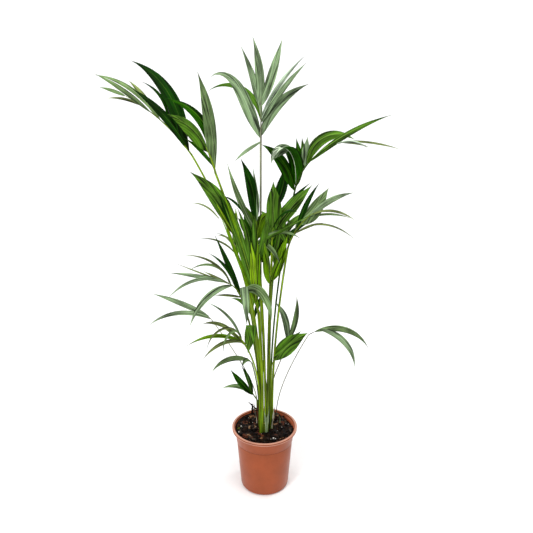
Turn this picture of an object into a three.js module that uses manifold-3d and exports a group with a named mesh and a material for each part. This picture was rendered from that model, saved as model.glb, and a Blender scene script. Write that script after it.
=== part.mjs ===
// Potted kentia palm, a young clump of several shoots in a round moulded pot.
// Millimetres, +Z up. The origin is the centre of the pot's flat underside.
// Headings are compass angles in plan: 0 is +X, 90 is +Y, 180 is -X, 270 is -Y.

import * as THREE from 'three';
import { mergeVertices } from 'three/addons/utils/BufferGeometryUtils.js';
import Module from 'manifold-3d';

const wasm = await Module();
wasm.setup();

// Pot
const POT_HEIGHT = 215;
const RIM_RADIUS = 105;
const LIP_INNER_RADIUS = 98;
const LIP_HEIGHT = 9;
const LIP_DEPTH = 5;
const LIP_ROUNDING = 3;
const WALL_RADIUS_TOP = 94;
const WALL_RADIUS_FOOT = 77.5;
const WALL_THICKNESS = 2.5;
const BAND_HEIGHT = 40;
const BAND_STEP = 1.2;
const FOOT_ROUNDING = 7;
const FLOOR_THICKNESS = 3;
const DRAIN_HOLES = 8;
const DRAIN_RADIUS = 5;
const DRAIN_CIRCLE = 52;
const DRAIN_SIDES = 12;
const POT_SIDES = 36;
const UNDER_LIP = POT_HEIGHT - LIP_HEIGHT;
const BAND_FOOT = UNDER_LIP - BAND_HEIGHT;

// Soil
const SOIL_HEIGHT = 210;
const SOIL_EDGE_DROP = 1.5;
const SOIL_LEVEL_RADIUS = 84;
const CLEARANCE = 0.3;

// Shoots, petioles, ribs and leaflets
const SHOOT_SIDES = 8;
const SHOOT_STEPS = 2;
const PETIOLE_SIDES = 5;
const PETIOLE_STEPS = 8;
const RIB_SIDES = 5;
const RIB_STEPS = 4;
const RIB_TIP_RADIUS = 1.2;
const LEAFLET_SIDES = 3;
const LEAFLET_STEPS = 5;
const SHORT_LEAFLET = 130;
const SHORT_LEAFLET_STEPS = 4;
const ROOT_DEPTH = 1;
const LEAFLET_THICKNESS_SHARE = 0.013;
const LEAFLET_WIDEST = 0.38;
const LEAFLET_ROOT_WIDTH = 3.2;
const LEAFLET_TIP_WIDTH = 0.9;
const LEAFLET_THINNING = 0.6;
const LEAFLET_EDGE = 0.4;
const LEAFLET_FULLNESS = 0.9;
const ARC_STEPS = 24;

const UP = new THREE.Vector3(0, 0, 1);

// How far the middle of a rounded corner lies inside the sharp one, as a share of the rounding.
const CORNER_INSET = 1 - Math.SQRT1_2;

const radians = THREE.MathUtils.degToRad;

// The plants' shoots: foot in plan, height above the soil, radius at the soil and at the top.
const SHOOTS = {
  left: { foot: [-18, 20], height: 82, radii: [8, 9.5] },
  back: { foot: [13, 26], height: 98, radii: [8, 9.5] },
  right: { foot: [20, -9], height: 74, radii: [6, 8] },
  middle: { foot: [6.5, -31], height: 62, radii: [5.5, 7.5] },
  front: { foot: [-11, -29], height: 88, radii: [6.5, 9.5] },
  seedling: { foot: [38, 41], height: 22, radii: [3, 2.4] },
};

// Each frond: its shoot and the side of the shoot's top that its petiole stands on, the crown where
// its blade begins, how far up the petiole starts to lean, the petiole's radii, and its rib.
// A rib is [heading, climb, droop, length]. A leaflet is
// [place along the rib, heading, climb, droop, length, width, roll, lateness of the droop].
const FRONDS = {
  left_high: {
    shoot: 'left', seat: 40, crown: [-216, 120, 1070], lean: 0.58, petiole: [3.2, 2.2],
    rib: [163, 53, 30, 280],
    leaflets: [
      [0.04, 218, 87, 34, 130, 20, 60],
      [0.06, 172, 64, 34, 250, 24, 60],
      [0.1, 165, 84, 66, 312, 38, 60, 1.4],
      [0.16, 138, 90, 54, 226, 24, 50],
      [0.3, 105, 60, 70, 180, 18, 40],
      [0.38, 192, 104, 84, 164, 13, 50],
      [0.5, 152, 52, 50, 280, 14, 55],
      [0.56, 132, 45, 22, 176, 16, 60],
      [0.64, 202, 46, 20, 190, 16, 60],
      [0.76, 212, 33, 40, 108, 11, 50],
      [0.97, 168, 26, 20, 84, 12, 50],
    ],
  },
  left_upright: {
    shoot: 'left', seat: 290, crown: [-139, 30, 1032], lean: 0.55, petiole: [3.4, 2.6],
    rib: [200, 78, 20, 110],
    leaflets: [
      [0.08, 206, 92, 22, 277, 40, 70],
      [0.2, 205, 60, 30, 120, 14, 60],
      [0.3, 100, 55, 70, 150, 18, 40],
      [0.36, 190, 101, 92, 234, 28, 60],
      [0.55, 205, 74, 30, 110, 11, 60],
      [0.6, 212, 66, 46, 166, 42, 65],
      [0.97, 165, 44, 12, 52, 12, 60],
    ],
  },
  top_fan: {
    shoot: 'left', seat: 345, crown: [-10, 20, 1122], lean: 0.5, petiole: [2.4, 2.2],
    rib: [0, 89, -2, 122],
    leaflets: [
      [0.02, 200, -20, 28, 94, 15, 20],
      [0.1, 186, 68, 120, 242, 31, 80, 5],
      [0.14, -10, 75, 56, 202, 26, 80],
      [0.5, 160, 87, 124, 214, 17, 60],
      [0.45, -28, 59, 19, 211, 17, 80],
      [0.5, 24, 65, 27, 218, 13, 80],
      [0.5, 150, 83, 22, 207, 20, 80],
      [0.84, 195, 95, 24, 180, 25, 80],
      [0.8, -8, 69, -5, 186, 24, 80],
    ],
  },
  right_high: {
    shoot: 'back', seat: 5, crown: [85, 20, 973], lean: 0.5, petiole: [2.8, 2.1],
    rib: [-22, 81, 70, 240],
    leaflets: [
      [0.05, 205, 81, 56, 180, 40, 65],
      [0.1, 235, 90, 162, 220, 44, 170, 1.75],
      [0.27, 140, 84, 10, 102, 18, 60],
      [0.32, 110, 87, 10, 92, 22, 60],
      [0.34, 85, 50, 60, 150, 18, 40],
      [0.38, 60, 90, 10, 82, 24, 50],
      [0.42, -2, 92, 128, 180, 30, 60],
      [0.46, -22, 45, 27, 262, 27, 55],
      [0.84, -56, 24, 44, 130, 9, 40],
      [0.9, 6, 4, 30, 84, 9, 40],
      [0.97, -14, 3, 20, 146, 8, 40],
    ],
  },
  back_blade: {
    shoot: 'back', seat: 62, crown: [28, 80, 905], lean: 0.5, petiole: [2.4, 1.8],
    rib: [60, 84, 6, 26],
    leaflets: [
      [0.3, 30, 58, -30, 145, 34, 80],
      [0.9, 80, 20, 50, 145, 22, 30],
    ],
  },
  centre_blade: {
    shoot: 'right', seat: 190, crown: [22, -40, 872], lean: 0.5, petiole: [2.6, 2],
    rib: [0, 84, 4, 24],
    leaflets: [
      [0.3, 150, 93, 4, 145, 42, 80],
      [0.5, 10, 52, 8, 168, 35, 75],
      [0.8, 28, 56, 24, 170, 16, 60],
      [0.9, 300, 60, 60, 150, 16, 40],
    ],
  },
  centre_tall: {
    shoot: 'middle', seat: 205, crown: [-21, -10, 834], lean: 0.5, petiole: [2.8, 4],
    rib: [180, 88, 0, 70],
    leaflets: [
      [0.04, 308, 20, 80, 125, 14, 45],
      [0.1, 312, 37, 54, 190, 15, 45, 1.5],
      [0.06, 305, 27, -4, 280, 11, 60],
      [0.15, 190, 92, 60, 82, 28, 82, 4],
      [0.2, 345, 80, 60, 92, 30, 82, 4],
      [0.18, 170, 48, 0, 84, 30, 75],
      [0.28, 185, -46, 34, 64, 16, 80],
      [0.3, 165, 68, 5, 110, 26, 75],
      [0.46, 172, 60, -15, 218, 17, 60],
      [0.72, 150, 78, 66, 100, 7, 40],
      [0.9, 190, 92, 30, 194, 31, 75],
      [0.97, 110, 88, 14, 152, 20, 70],
    ],
  },
  left_spear: {
    shoot: 'front', seat: 60, crown: [-76, -30, 842], lean: 0.5, petiole: [3.2, 3],
    rib: [175, 72, 0, 42],
    leaflets: [
      [0.2, 230, 94, 11, 95, 26, 75],
      [0.3, 180, 71, 0, 138, 18, 75],
      [0.6, 192, 58, -7, 108, 14, 60],
      [0.9, 172, 75, 42, 212, 42, 70],
    ],
  },
  bright_spear: {
    shoot: 'front', seat: 330, crown: [-17, -62, 640], lean: 0.5, petiole: [4, 3.4],
    rib: [174, 76, 0, 34],
    leaflets: [
      [0.2, 172, 80, 11, 362, 24, 75],
      [0.5, 178, 77, 7, 334, 14, 70],
      [0.4, 184, 72, 4, 300, 12, 60],
      [0.75, 170, 83, 14, 320, 14, 75],
      [0.9, 176, 88, 4, 185, 22, 70],
      [0.97, 0, 86, -4, 186, 20, 70],
    ],
  },
  right_spray: {
    shoot: 'right', seat: 350, crown: [66, -70, 840], lean: 0.44, petiole: [3, 2.2],
    rib: [-35, 72, 35, 140],
    leaflets: [
      [0.1, 165, 66, 10, 62, 24, 60],
      [0.3, -45, 47, 75, 232, 9, 40],
      [0.36, -30, 39, 26, 98, 10, 40],
      [0.4, 60, 45, 60, 160, 18, 40],
      [0.48, -5, 78, 24, 144, 16, 60],
      [0.62, -20, 49, -12, 132, 40, 65],
      [0.84, -5, 22, 43, 118, 8, 40],
      [0.9, -30, 50, 36, 150, 18, 60],
      [0.97, -45, 31, 54, 150, 9, 40],
    ],
  },
  centre_fork: {
    shoot: 'middle', seat: 330, crown: [17, -60, 724], lean: 0.5, petiole: [3.4, 2.6],
    rib: [300, 86, 6, 20],
    leaflets: [
      [0.2, 215, 84, 6, 130, 32, 70],
      [0.9, 318, 66, 0, 116, 24, 70],
      [0.6, 332, 70, 0, 156, 34, 70],
    ],
  },
  left_thin: {
    shoot: 'left', seat: 100, crown: [-75, 75, 750], lean: 0.5, petiole: [2.2, 1.6],
    rib: [175, 66, 10, 36],
    leaflets: [
      [0.8, 180, 56, 64, 125, 7, 40],
      [0.9, 160, 88, 90, 92, 7, 40],
      [0.5, 100, 60, 90, 160, 14, 40],
      [0.97, 95, 50, 70, 180, 14, 40],
    ],
  },
  left_middle: {
    shoot: 'front', seat: 135, crown: [-65, -60, 680], lean: 0.55, petiole: [2.8, 2.2],
    rib: [200, 77, 62, 94],
    leaflets: [
      [0.04, 180, 72, 6, 206, 16, 75],
      [0.08, 190, 17, 18, 80, 8, 50],
      [0.12, 310, 68, 166, 204, 18, 50],
      [0.2, 290, 38, 160, 170, 16, 50],
      [0.38, 205, 79, 46, 153, 12, 60],
      [0.6, 225, 14, 81, 194, 17, 50],
      [0.62, 200, 73, 69, 180, 9, 45],
      [0.7, 198, 86, 122, 154, 9, 50],
      [0.73, 185, 31, 4, 82, 9, 40],
      [0.78, 180, 22, 0, 153, 6, 30],
      [0.86, 198, 22, 12, 166, 12, 60],
      [0.97, 212, 32, 75, 180, 10, 50],
    ],
  },
  left_low: {
    shoot: 'front', seat: 245, crown: [-55, -60, 529], lean: 0.6, petiole: [2.6, 2],
    rib: [212, 64, 20, 72],
    leaflets: [
      [0.05, 190, 56, 28, 132, 11, 50],
      [0.12, 206, 47, 73, 198, 13, 45],
      [0.2, 220, 38, 80, 162, 12, 45],
      [0.38, 232, 94, 197, 142, 8, 40],
      [0.42, 196, 78, 50, 168, 14, 50],
      [0.46, 215, 82, 163, 166, 8, 40],
      [0.06, 285, 92, 182, 186, 32, 0, 1.4],
      [0.97, 150, 30, 60, 120, 12, 40],
    ],
  },
  left_lowest: {
    shoot: 'front', seat: 190, crown: [-38, -44, 463], lean: 0.5, petiole: [1.8, 1.5],
    rib: [200, 60, 10, 20],
    leaflets: [
      [0.5, 195, 39, 98, 138, 16, 45],
      [0.6, 235, 64, 138, 50, 12, 50],
    ],
  },
  left_foot: {
    shoot: 'left', seat: 225, crown: [-33, 22, 310], lean: 0.5, petiole: [1.8, 1.6],
    rib: [190, 70, 0, 18],
    leaflets: [
      [0.3, 200, 49, -10, 130, 27, 60],
      [0.4, 180, 52, 80, 112, 15, 50],
      [0.6, 172, 82, 26, 104, 15, 50],
      [0.97, 235, 72, 4, 90, 19, 60],
    ],
  },
  left_seedling: {
    shoot: 'left', seat: 165, crown: [-166, 80, 549], lean: 0.3, petiole: [1.5, 1.1],
    rib: [160, 45, 0, 24],
    leaflets: [
      [0.4, 178, 28, 72, 217, 15, 50],
      [0.8, 158, 20, 14, 212, 17, 60],
    ],
  },
  right_seedling: {
    shoot: 'seedling', seat: 0, crown: [142, 90, 495], lean: 0.4, petiole: [1.4, 1.1],
    rib: [20, 19, 4, 42],
    leaflets: [
      [0.6, 18, 14, 78, 234, 20, 50],
      [0.97, 336, 6, 96, 186, 19, 60],
    ],
  },
  right_low_pair: {
    shoot: 'back', seat: 310, crown: [74, 45, 481], lean: 0.35, petiole: [1.6, 1.2],
    rib: [0, 86, 0, 16],
    leaflets: [
      [0.4, 200, 97, 48, 160, 24, 70],
      [0.9, 20, 62, -36, 154, 17, 70],
    ],
  },
  right_low_blade: {
    shoot: 'right', seat: 265, crown: [22, -26, 448], lean: 0.5, petiole: [2.2, 1.8],
    rib: [0, 60, 0, 34],
    leaflets: [
      [0.5, 350, 60, 30, 146, 46, 75],
      [0.9, 8, 62, 30, 116, 16, 70],
    ],
  },
  back_middle: {
    shoot: 'back', seat: 115, crown: [30, 105, 725], lean: 0.5, petiole: [2.6, 2],
    rib: [80, 74, 40, 90],
    leaflets: [
      [0.08, 120, 75, 70, 190, 20, 40],
      [0.12, 30, 75, 70, 190, 20, 40],
      [0.3, 40, 80, 20, 150, 32, 60],
      [0.5, 105, 60, 70, 220, 22, 30],
      [0.54, 50, 60, 70, 220, 22, 30],
      [0.9, 90, 45, 70, 220, 20, 30],
      [0.97, 70, 30, 60, 180, 14, 20],
    ],
  },
  back_low: {
    shoot: 'back', seat: 175, crown: [-30, 95, 520], lean: 0.35, petiole: [2.4, 1.8],
    rib: [100, 65, 40, 70],
    leaflets: [
      [0.3, 130, 60, 90, 150, 14, 30],
      [0.4, 70, 60, 90, 150, 14, 30],
      [0.9, 115, 40, 80, 170, 15, 30],
      [0.97, 85, 45, 80, 180, 15, 30],
    ],
  },
};

// A curve that leaves its base at a climb angle and turns towards the ground by its droop.
class Arc extends THREE.Curve {
  constructor(base, heading, climb, droop, length, lateness = 1) {
    super();
    this.base = base;
    this.outward = new THREE.Vector3(Math.cos(radians(heading)), Math.sin(radians(heading)), 0);
    this.side = new THREE.Vector3().crossVectors(UP, this.outward);
    this.climbAt = (t) => radians(climb - droop * Math.pow(t, lateness));
    this.size = length;
  }

  getPoint(t) {
    const point = this.base.clone();
    const step = t / ARC_STEPS;
    for (let i = 0; i < ARC_STEPS; i++) {
      const climb = this.climbAt((i + 0.5) * step);
      point.addScaledVector(this.outward, Math.cos(climb) * step * this.size);
      point.addScaledVector(UP, Math.sin(climb) * step * this.size);
    }
    return point;
  }

  getTangent(t) {
    const climb = this.climbAt(t);
    return this.outward.clone().multiplyScalar(Math.cos(climb)).addScaledVector(UP, Math.sin(climb));
  }
}

// A closed bar that follows a curve. Each section is a polygon drawn in an ellipse: radiiAt(t) gives
// the ellipse's two radii, and across(t) the direction of the first.
function bar(curve, sides, steps, radiiAt, across) {
  const geometry = new THREE.CylinderGeometry(1, 1, 1, sides, steps);
  const position = geometry.attributes.position;
  const local = new THREE.Vector3();
  for (let i = 0; i < position.count; i++) {
    local.fromBufferAttribute(position, i);
    const t = local.y + 0.5;
    const [wide, thick] = radiiAt(t);
    const width = across(t);
    const thickness = new THREE.Vector3().crossVectors(width, curve.getTangent(t)).normalize();
    const point = curve.getPoint(t);
    point.addScaledVector(width, local.x * wide);
    point.addScaledVector(thickness, local.z * thick);
    position.setXYZ(i, point.x, point.y, point.z);
  }
  geometry.deleteAttribute('normal');
  geometry.deleteAttribute('uv');
  return mergeVertices(geometry);
}

// The middle of a bar at a place along it, on the straight stretch between two of its sections.
function onBar(curve, steps, t) {
  const section = Math.min(Math.floor(t * steps), steps - 1);
  const start = curve.getPoint(section / steps);
  return start.lerp(curve.getPoint((section + 1) / steps), t * steps - section);
}

function round(radiusAt) {
  return (t) => [radiusAt(t), radiusAt(t)];
}

// A level direction across the curve, so that a bar that starts upright has a level foot.
function levelAcross(curve) {
  const reference = new THREE.Vector3(0, 1, 0);
  return (t) => new THREE.Vector3().crossVectors(curve.getTangent(t), reference).normalize();
}

// A tapering blade with a flat upper face and a ridge below. Its roll turns the upper face from up
// towards -Y. The three-sided section is sin 60 of its ellipse wide to each side, and 1.5 radii thick.
function leaflet(root, [, heading, climb, droop, length, width, roll, lateness]) {
  const arc = new Arc(root, heading, climb, droop, length, lateness);
  arc.base.addScaledVector(arc.getTangent(0), -ROOT_DEPTH);
  const radiiAt = (t) => {
    const swell = t < LEAFLET_WIDEST
      ? Math.sin((t / LEAFLET_WIDEST) * Math.PI / 2)
      : Math.cos(((t - LEAFLET_WIDEST) / (1 - LEAFLET_WIDEST)) * Math.PI / 2);
    const narrow = THREE.MathUtils.lerp(LEAFLET_ROOT_WIDTH, LEAFLET_TIP_WIDTH, t);
    const full = narrow + (width - narrow) * Math.pow(swell, LEAFLET_FULLNESS);
    const thickness = length * LEAFLET_THICKNESS_SHARE * (1 - LEAFLET_THINNING * t) + LEAFLET_EDGE;
    return [full / (2 * Math.sin(Math.PI / 3)), thickness / 1.5];
  };
  const turn = radians(Math.cos(radians(heading)) < 0 ? -roll : roll);
  const across = (t) => arc.side.clone().applyAxisAngle(arc.getTangent(t), turn);
  const steps = length < SHORT_LEAFLET ? SHORT_LEAFLET_STEPS : LEAFLET_STEPS;
  return bar(arc, LEAFLET_SIDES, steps, radiiAt, across);
}

function toSolid(geometry) {
  return new wasm.Manifold(new wasm.Mesh({
    numProp: 3,
    vertProperties: geometry.attributes.position.array,
    triVerts: Uint32Array.from(geometry.index.array),
  }));
}

function toGeometry(solid) {
  const mesh = solid.getMesh();
  const geometry = new THREE.BufferGeometry();
  geometry.setAttribute('position', new THREE.BufferAttribute(mesh.vertProperties, 3));
  geometry.setIndex(new THREE.BufferAttribute(mesh.triVerts, 1));
  return geometry;
}

const palm = new THREE.Group();

function addPart(name, geometry, finish) {
  const mesh = new THREE.Mesh(geometry, new THREE.MeshStandardMaterial(finish));
  mesh.name = name;
  palm.add(mesh);
}

function wallRadius(z) {
  return THREE.MathUtils.lerp(WALL_RADIUS_FOOT, WALL_RADIUS_TOP, z / POT_HEIGHT);
}

// Turns a profile of [radius, height] pairs about +Z.
function turned(profile) {
  const geometry = new THREE.LatheGeometry(profile.map(([r, z]) => new THREE.Vector2(r, z)), POT_SIDES);
  geometry.rotateX(Math.PI / 2);
  geometry.deleteAttribute('normal');
  geometry.deleteAttribute('uv');
  return mergeVertices(geometry);
}

function pot() {
  const footInset = FOOT_ROUNDING * CORNER_INSET;
  const lipInset = LIP_ROUNDING * CORNER_INSET;
  const profile = [
    [0, 0],
    [wallRadius(0) - FOOT_ROUNDING, 0],
    [wallRadius(0) - footInset, footInset],
    [wallRadius(FOOT_ROUNDING), FOOT_ROUNDING],
    [wallRadius(BAND_FOOT), BAND_FOOT],
    [wallRadius(BAND_FOOT) + BAND_STEP, BAND_FOOT + BAND_STEP],
    [wallRadius(UNDER_LIP) + BAND_STEP, UNDER_LIP],
    [RIM_RADIUS - LIP_ROUNDING / 2, UNDER_LIP],
    [RIM_RADIUS, UNDER_LIP + LIP_ROUNDING / 2],
    [RIM_RADIUS, POT_HEIGHT - LIP_ROUNDING],
    [RIM_RADIUS - lipInset, POT_HEIGHT - lipInset],
    [RIM_RADIUS - LIP_ROUNDING, POT_HEIGHT],
    [LIP_INNER_RADIUS, POT_HEIGHT - LIP_ROUNDING / 2],
    [LIP_INNER_RADIUS, POT_HEIGHT - LIP_DEPTH],
    [wallRadius(UNDER_LIP) + BAND_STEP - WALL_THICKNESS, UNDER_LIP],
    [wallRadius(BAND_FOOT) - WALL_THICKNESS, BAND_FOOT],
    [wallRadius(FLOOR_THICKNESS) - WALL_THICKNESS, FLOOR_THICKNESS],
    [0, FLOOR_THICKNESS],
  ];
  let solid = toSolid(turned(profile));
  const drillLength = 4 * FLOOR_THICKNESS;
  for (let i = 0; i < DRAIN_HOLES; i++) {
    const hole = new THREE.CylinderGeometry(DRAIN_RADIUS, DRAIN_RADIUS, drillLength, DRAIN_SIDES);
    hole.rotateX(Math.PI / 2);
    hole.translate(DRAIN_CIRCLE, 0, 0);
    hole.rotateZ((i + 0.5) * 2 * Math.PI / DRAIN_HOLES);
    hole.deleteAttribute('normal');
    hole.deleteAttribute('uv');
    solid = solid.subtract(toSolid(mergeVertices(hole)));
  }
  addPart('pot', toGeometry(solid), { color: 0xad5c3e, roughness: 0.5, metalness: 0 });
}

function soil() {
  const clear = WALL_THICKNESS + 2 * CLEARANCE;
  const foot = FLOOR_THICKNESS + CLEARANCE;
  const edge = SOIL_HEIGHT - SOIL_EDGE_DROP;
  const neckRadius = wallRadius(UNDER_LIP) + BAND_STEP - clear;
  const upTheLip = (edge - UNDER_LIP) / (LIP_HEIGHT - LIP_DEPTH);
  const edgeRadius = THREE.MathUtils.lerp(neckRadius, LIP_INNER_RADIUS - 2 * CLEARANCE, upTheLip);
  const profile = [
    [0, foot],
    [wallRadius(foot) - clear, foot],
    [wallRadius(BAND_FOOT) - clear, BAND_FOOT],
    [neckRadius, UNDER_LIP],
    [edgeRadius, edge],
    [SOIL_LEVEL_RADIUS, SOIL_HEIGHT],
    [0, SOIL_HEIGHT],
  ];
  addPart('soil', turned(profile), { color: 0x2a1c14, roughness: 0.95, metalness: 0 });
}

function shootTop({ foot: [x, y], height }) {
  return new THREE.Vector3(x, y, SOIL_HEIGHT + CLEARANCE + height);
}

function shoot(name, { foot: [x, y], height, radii: [atSoil, atTop] }) {
  const foot = new THREE.Vector3(x, y, SOIL_HEIGHT + CLEARANCE);
  const curve = new THREE.LineCurve3(foot, shootTop(SHOOTS[name]));
  const radiusAt = (t) => THREE.MathUtils.lerp(atSoil, atTop, t);
  const geometry = bar(curve, SHOOT_SIDES, SHOOT_STEPS, round(radiusAt), levelAcross(curve));
  addPart(`shoot_${name}`, geometry, { color: 0x8aa05a, roughness: 0.6, metalness: 0 });
}

function petiole(name, { shoot: shootName, seat, crown, lean, petiole: [atFoot, atCrown] }) {
  const { radii } = SHOOTS[shootName];
  const offset = radii[1] - atFoot - CLEARANCE;
  const foot = shootTop(SHOOTS[shootName]);
  foot.x += offset * Math.cos(radians(seat));
  foot.y += offset * Math.sin(radians(seat));
  foot.z += CLEARANCE;
  const tip = new THREE.Vector3(...crown);
  const knee = new THREE.Vector3(foot.x, foot.y, THREE.MathUtils.lerp(foot.z, tip.z, lean));
  const curve = new THREE.QuadraticBezierCurve3(foot, knee, tip);
  const radiusAt = (t) => THREE.MathUtils.lerp(atFoot, atCrown, t);
  const geometry = bar(curve, PETIOLE_SIDES, PETIOLE_STEPS, round(radiusAt), levelAcross(curve));
  addPart(`petiole_${name}`, geometry, { color: 0x7da628, roughness: 0.5, metalness: 0 });
  return { tip, direction: curve.getTangent(1) };
}

function frond(name, { rib: [heading, climb, droop, length], petiole: [, atCrown], leaflets }, petioleEnd) {
  const rib = new Arc(petioleEnd.tip.clone(), heading, climb, droop, length);
  const bend = rib.getTangent(0).angleTo(petioleEnd.direction);
  rib.base.addScaledVector(petioleEnd.direction, CLEARANCE + atCrown * Math.sin(bend));
  const radiusAt = (t) => THREE.MathUtils.lerp(atCrown, RIB_TIP_RADIUS, t);
  const across = () => rib.side.clone();
  let solid = toSolid(bar(rib, RIB_SIDES, RIB_STEPS, round(radiusAt), across));
  for (const row of leaflets) {
    solid = solid.add(toSolid(leaflet(onBar(rib, RIB_STEPS, row[0]), row)));
  }
  addPart(`frond_${name}`, toGeometry(solid), { color: 0x2f6b1a, roughness: 0.45, metalness: 0 });
}

pot();
soil();
for (const [name, size] of Object.entries(SHOOTS)) {
  shoot(name, size);
}
for (const [name, size] of Object.entries(FRONDS)) {
  frond(name, size, petiole(name, size));
}

export default palm;
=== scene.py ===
# Potted kentia palm: living leaves, stalks, bark mix and a moulded pot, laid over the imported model.
import math
import random
import bmesh
import bpy
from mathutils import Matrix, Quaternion, Vector, noise


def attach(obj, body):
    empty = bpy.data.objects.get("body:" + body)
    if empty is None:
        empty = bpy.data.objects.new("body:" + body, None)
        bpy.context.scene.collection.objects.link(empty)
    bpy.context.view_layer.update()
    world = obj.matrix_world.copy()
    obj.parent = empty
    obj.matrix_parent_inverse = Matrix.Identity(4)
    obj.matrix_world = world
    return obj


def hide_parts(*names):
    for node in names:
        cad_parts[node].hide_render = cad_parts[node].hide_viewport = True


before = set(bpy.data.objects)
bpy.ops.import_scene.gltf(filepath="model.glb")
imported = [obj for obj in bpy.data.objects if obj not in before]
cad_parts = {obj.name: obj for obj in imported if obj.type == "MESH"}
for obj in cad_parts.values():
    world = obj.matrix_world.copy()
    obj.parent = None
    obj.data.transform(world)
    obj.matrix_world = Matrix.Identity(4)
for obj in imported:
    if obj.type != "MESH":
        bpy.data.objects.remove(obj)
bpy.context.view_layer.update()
print("frame loaded,", len(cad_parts), "nodes")

mm = 0.001
up = Vector((0, 0, 1))
crisp = math.radians(70)  # edges sharper than this are not shaded round
merge = 1e-6
dice = random.Random(21)


# shared helpers

def linear(code):
    # an sRGB hex colour as linear red, green, blue and an alpha of 1
    parts = [int(code[i:i + 2], 16) / 255 for i in (1, 3, 5)]
    return [c / 12.92 if c <= 0.04045 else ((c + 0.055) / 1.055) ** 2.4 for c in parts] + [1]


def tinted(code, share):
    # the same colour, lighter or darker by a share, still as hex
    parts = [int(code[i:i + 2], 16) * share for i in (1, 3, 5)]
    return "#" + "".join("%02X" % min(255, round(c)) for c in parts)


def addNode(tree, kind, settings, links=None):
    # settings name an input socket or a property; links give an input the socket that feeds it
    node = tree.nodes.new(kind)
    for key, value in settings.items():
        if isinstance(key, int) or key in node.inputs:
            node.inputs[key].default_value = value
        else:
            setattr(node, key, value)
    for key, socket in (links or {}).items():
        tree.links.new(socket, node.inputs[key])
    return node


def startMaterial(name, roughness, look):
    material = bpy.data.materials.new(name)
    material.use_nodes = True
    shader = material.node_tree.nodes["Principled BSDF"]
    shader.inputs["Roughness"].default_value = roughness
    shader.inputs["IOR"].default_value = look["ior"]
    shader.inputs["Specular IOR Level"].default_value = look["sheen"]
    return material, material.node_tree, shader


def dressShader(tree, shader, code, look, factor, height):
    # factor spreads the look's (place, share) shades of one colour, and height gives the relief
    ramp = addNode(tree, "ShaderNodeValToRGB", {}, {"Fac": factor})
    stops = ramp.color_ramp.elements
    while len(stops) < len(look["shades"]):
        stops.new(0.5)
    for stop, (place, share) in zip(stops, look["shades"]):
        stop.position = place
        stop.color = linear(tinted(code, share))
    tree.links.new(ramp.outputs["Color"], shader.inputs["Base Color"])
    bump = addNode(tree, "ShaderNodeBump", {"Strength": look["bump"], "Distance": look["relief"] * mm},
                   {"Height": height})
    tree.links.new(bump.outputs["Normal"], shader.inputs["Normal"])


def addStreaks(tree, look):
    # lengthwise streaks on the piece's own map, which measures a blade or a stalk in real size
    gap, stretch, roughness = look["streaks"]
    run = addNode(tree, "ShaderNodeUVMap", {"uv_map": "run"})
    scale = 1 / (gap * mm)
    lengthwise = addNode(tree, "ShaderNodeMapping", {"Scale": (scale, scale / stretch, 1)},
                         {"Vector": run.outputs["UV"]})
    streaks = addNode(tree, "ShaderNodeTexNoise", {"Scale": 1, "Detail": 4, "Roughness": roughness},
                      {"Vector": lengthwise.outputs["Vector"]})
    return run, streaks


def lerp(a, b, t):
    return a + (b - a) * t


def shares(count):
    # 0 to 1 in count equal steps
    return [i / count for i in range(count + 1)]


def around(angle):
    # the level direction at an angle in radians
    return Vector((math.cos(angle), math.sin(angle), 0))


def putInScene(name, data):
    thing = bpy.data.objects.new(name, data)
    bpy.context.scene.collection.objects.link(thing)
    return thing


def meshFrom(name, bm):
    mesh = bpy.data.meshes.new(name)
    bm.to_mesh(mesh)
    bm.free()
    return mesh


def startShape():
    bm = bmesh.new()
    bm.loops.layers.uv.new("run")
    return bm


def finishPiece(name, bm, materials, nodes=()):
    # the bmesh becomes one piece that rides on the part and stands for its CAD nodes
    bm.normal_update()
    for edge in bm.edges:
        # no shading runs round a rim from one face of a blade to the other
        if len(edge.link_faces) == 2 and edge.calc_face_angle(0) > crisp:
            edge.smooth = False
    piece = putInScene(name, meshFrom(name, bm))
    for material in materials:
        piece.data.materials.append(material)
    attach(piece, "root")
    if nodes:
        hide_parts(*nodes)
    print(name, len(piece.data.polygons), "faces")
    return piece


def placeGrid(bm, across, along, place, uvAt, material):
    # a grid whose corners go where place(u, t) says, u from -1 to 1 and t from 0 to 1
    grid = bmesh.ops.create_grid(bm, x_segments=across, y_segments=along, size=1)["verts"]
    faces = list(dict.fromkeys(face for vert in grid for face in vert.link_faces))
    flat = {vert: (vert.co.x, (vert.co.y + 1) / 2) for vert in grid}
    layer = bm.loops.layers.uv["run"]
    for face in faces:
        face.smooth = True
        face.material_index = material(face.calc_center_median().x) if callable(material) else material
        for loop in face.loops:
            loop[layer].uv = uvAt(*flat[loop.vert])
    for vert in grid:
        vert.co = place(*flat[vert])
    return grid, faces


def thicken(bm, grid, faces, thickness):
    # gives a bent grid a second shell behind it; returns the faces of that shell and its edge
    for face in faces:
        face.normal_update()
    for vert in grid:
        vert.normal_update()
    shell = bmesh.ops.solidify(bm, geom=faces, thickness=thickness)["geom"]
    added = [face for face in shell if isinstance(face, bmesh.types.BMFace) and face not in faces]
    for face in added:
        face.smooth = True
    bmesh.ops.recalc_face_normals(bm, faces=faces + added)
    return added


def closeTube(bm, grid, faces):
    # joins the two long edges of a rolled-up grid and caps its ends
    bmesh.ops.remove_doubles(bm, verts=grid, dist=merge)
    faces = [face for face in faces if face.is_valid]
    edges = list(dict.fromkeys(edge for face in faces for edge in face.edges if edge.is_boundary))
    caps = bmesh.ops.holes_fill(bm, edges=edges, sides=0)["faces"]
    for face in caps:
        face.material_index = faces[0].material_index
    bmesh.ops.recalc_face_normals(bm, faces=faces + caps)


# camera, floor and light, as the photograph has them

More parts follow.
